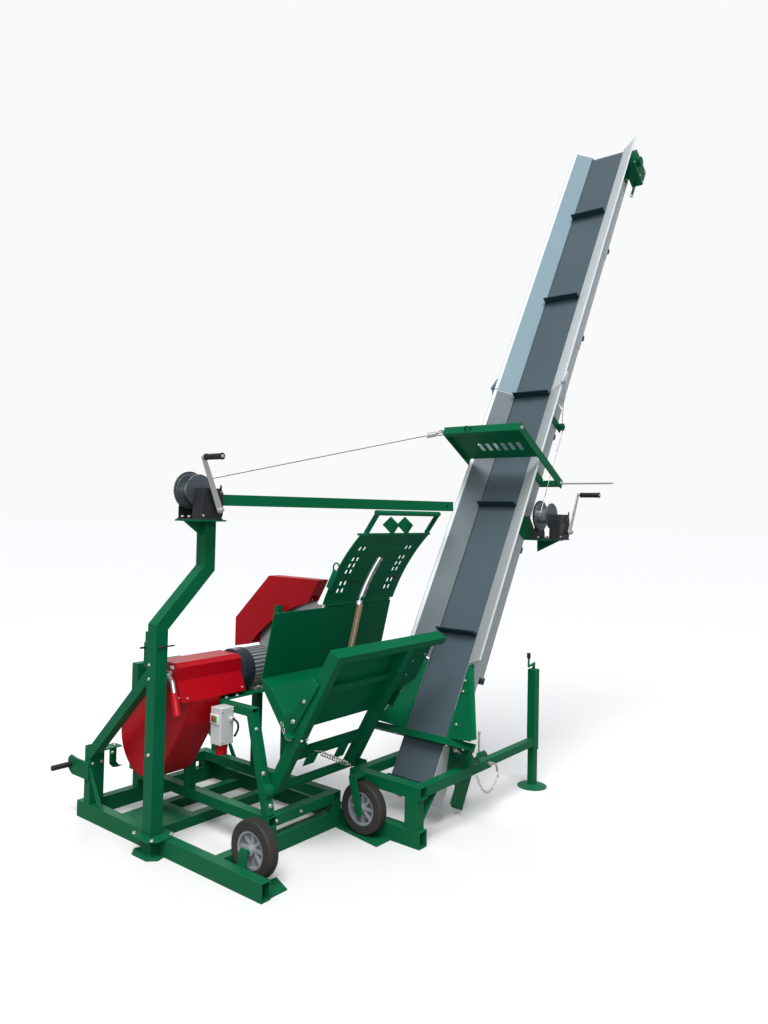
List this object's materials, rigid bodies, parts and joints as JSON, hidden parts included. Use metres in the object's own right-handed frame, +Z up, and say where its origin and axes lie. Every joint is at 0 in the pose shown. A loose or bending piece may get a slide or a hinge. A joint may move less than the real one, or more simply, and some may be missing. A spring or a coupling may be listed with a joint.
{
  "type": "firewood saw with discharge conveyor",
  "caption": "Three-point mounted firewood saw: green tube frame with rocker trough, red covers, circular blade and a steep folding belt conveyor on hand winches.",
  "frame": {"origin": "on the floor, at the middle of the front lower edge of the left skid tube", "axes": "+X along the saw shaft towards the conveyor, +Y from the operator's side towards the tractor, +Z up"},
  "size_m": [3.8281, 2.006, 4.4574],
  "materials": {
    "green": "gloss",
    "red": "gloss",
    "zinc": "satin",
    "bright_steel": "satin",
    "black_steel": "satin",
    "galvanised": "satin",
    "belt": "matt",
    "motor_grey": "matt",
    "box_grey": "matt",
    "tyre": "matt",
    "rim": "satin"
  },
  "bodies": {
    "frame": {"ground_frame": "green", "raised_frame": "green", "jack_arm": "green", "arm_pin": "zinc", "hitch_towers": "green", "link_pins": "zinc", "top_link_mast": "green", "winch_post": "green", "jib": "green", "hoist_winch_body": "black_steel", "hoist_winch_drum": "bright_steel", "hoist_winch_crank": "zinc", "hoist_rope": "bright_steel", "saw_stand": "green", "pivot_shaft": "green", "belt_cover": "red", "drive_box": "red", "tension_lever": "red", "motor": "motor_grey", "blade_guard": "red", "switch_box": "box_grey", "power_inlet": "red", "wheel_carriers": "green"},
    "jack_foot": {"jack_leg": "green"},
    "wheel_left": {"tyre_left": "tyre", "rim_left": "rim"},
    "wheel_right": {"tyre_right": "tyre", "rim_right": "rim"},
    "saw": {"saw_shaft": "bright_steel", "saw_blade": "bright_steel"},
    "rocker": {"rocker_frame": "green", "trough_left": "green", "trough_right": "green", "hood_hinge": "green"},
    "hood": {"clamp_hood": "green"},
    "conveyor_lower": {"lower_channel": "galvanised", "lower_belt": "belt", "tail_drum": "bright_steel", "tail_frame": "green", "hopper": "green", "yoke": "green", "yoke_rod": "zinc", "winch_bracket": "green", "fold_winch_body": "black_steel", "fold_winch_drum": "bright_steel", "fold_winch_crank": "zinc", "rope_pulley": "green", "fold_rope_low": "bright_steel"},
    "conveyor_upper": {"upper_channel": "galvanised", "upper_belt": "belt", "head_drum": "bright_steel", "head_drive": "green", "fold_rope_top": "bright_steel"}
  },
  "joints": [
    {"name": "tilt", "type": "hinge", "parent": "frame", "child": "conveyor_lower", "pos_m": [1.3, 0.064, 0.32], "axis": [0, -1, 0], "range_deg": [-28, 5]},
    {"name": "fold", "type": "hinge", "parent": "conveyor_lower", "child": "conveyor_upper", "pos_m": [2.23201, 0.064, 2.43498], "axis": [0, -1, 0], "range_deg": [0, 145]},
    {"name": "rocker", "type": "hinge", "parent": "frame", "child": "rocker", "pos_m": [0.6325, 0.345, 0.28], "axis": [-1, 0, 0], "range_deg": [0, 26]},
    {"name": "hood", "type": "hinge", "parent": "rocker", "child": "hood", "pos_m": [0.955, 0.352, 1.114], "axis": [1, 0, 0], "range_deg": [0, 50]},
    {"name": "saw_spindle", "type": "hinge", "parent": "frame", "child": "saw", "pos_m": [0.9, 0.78, 0.765], "axis": [1, 0, 0], "continuous": true},
    {"name": "wheel_left_axle", "type": "hinge", "parent": "frame", "child": "wheel_left", "pos_m": [0.094, 0.178, 0.134], "axis": [1, 0, 0], "continuous": true},
    {"name": "wheel_right_axle", "type": "hinge", "parent": "frame", "child": "wheel_right", "pos_m": [0.772, 0.135, 0.134], "axis": [1, 0, 0], "continuous": true},
    {"name": "jack_lift", "type": "slide", "parent": "frame", "child": "jack_foot", "axis": [0, 0, 1], "range_m": [0, 0.19]}
  ],
  "couplings": [
    {"joint": "hood", "follows": "rocker", "ratio": 1.92}
  ]
}
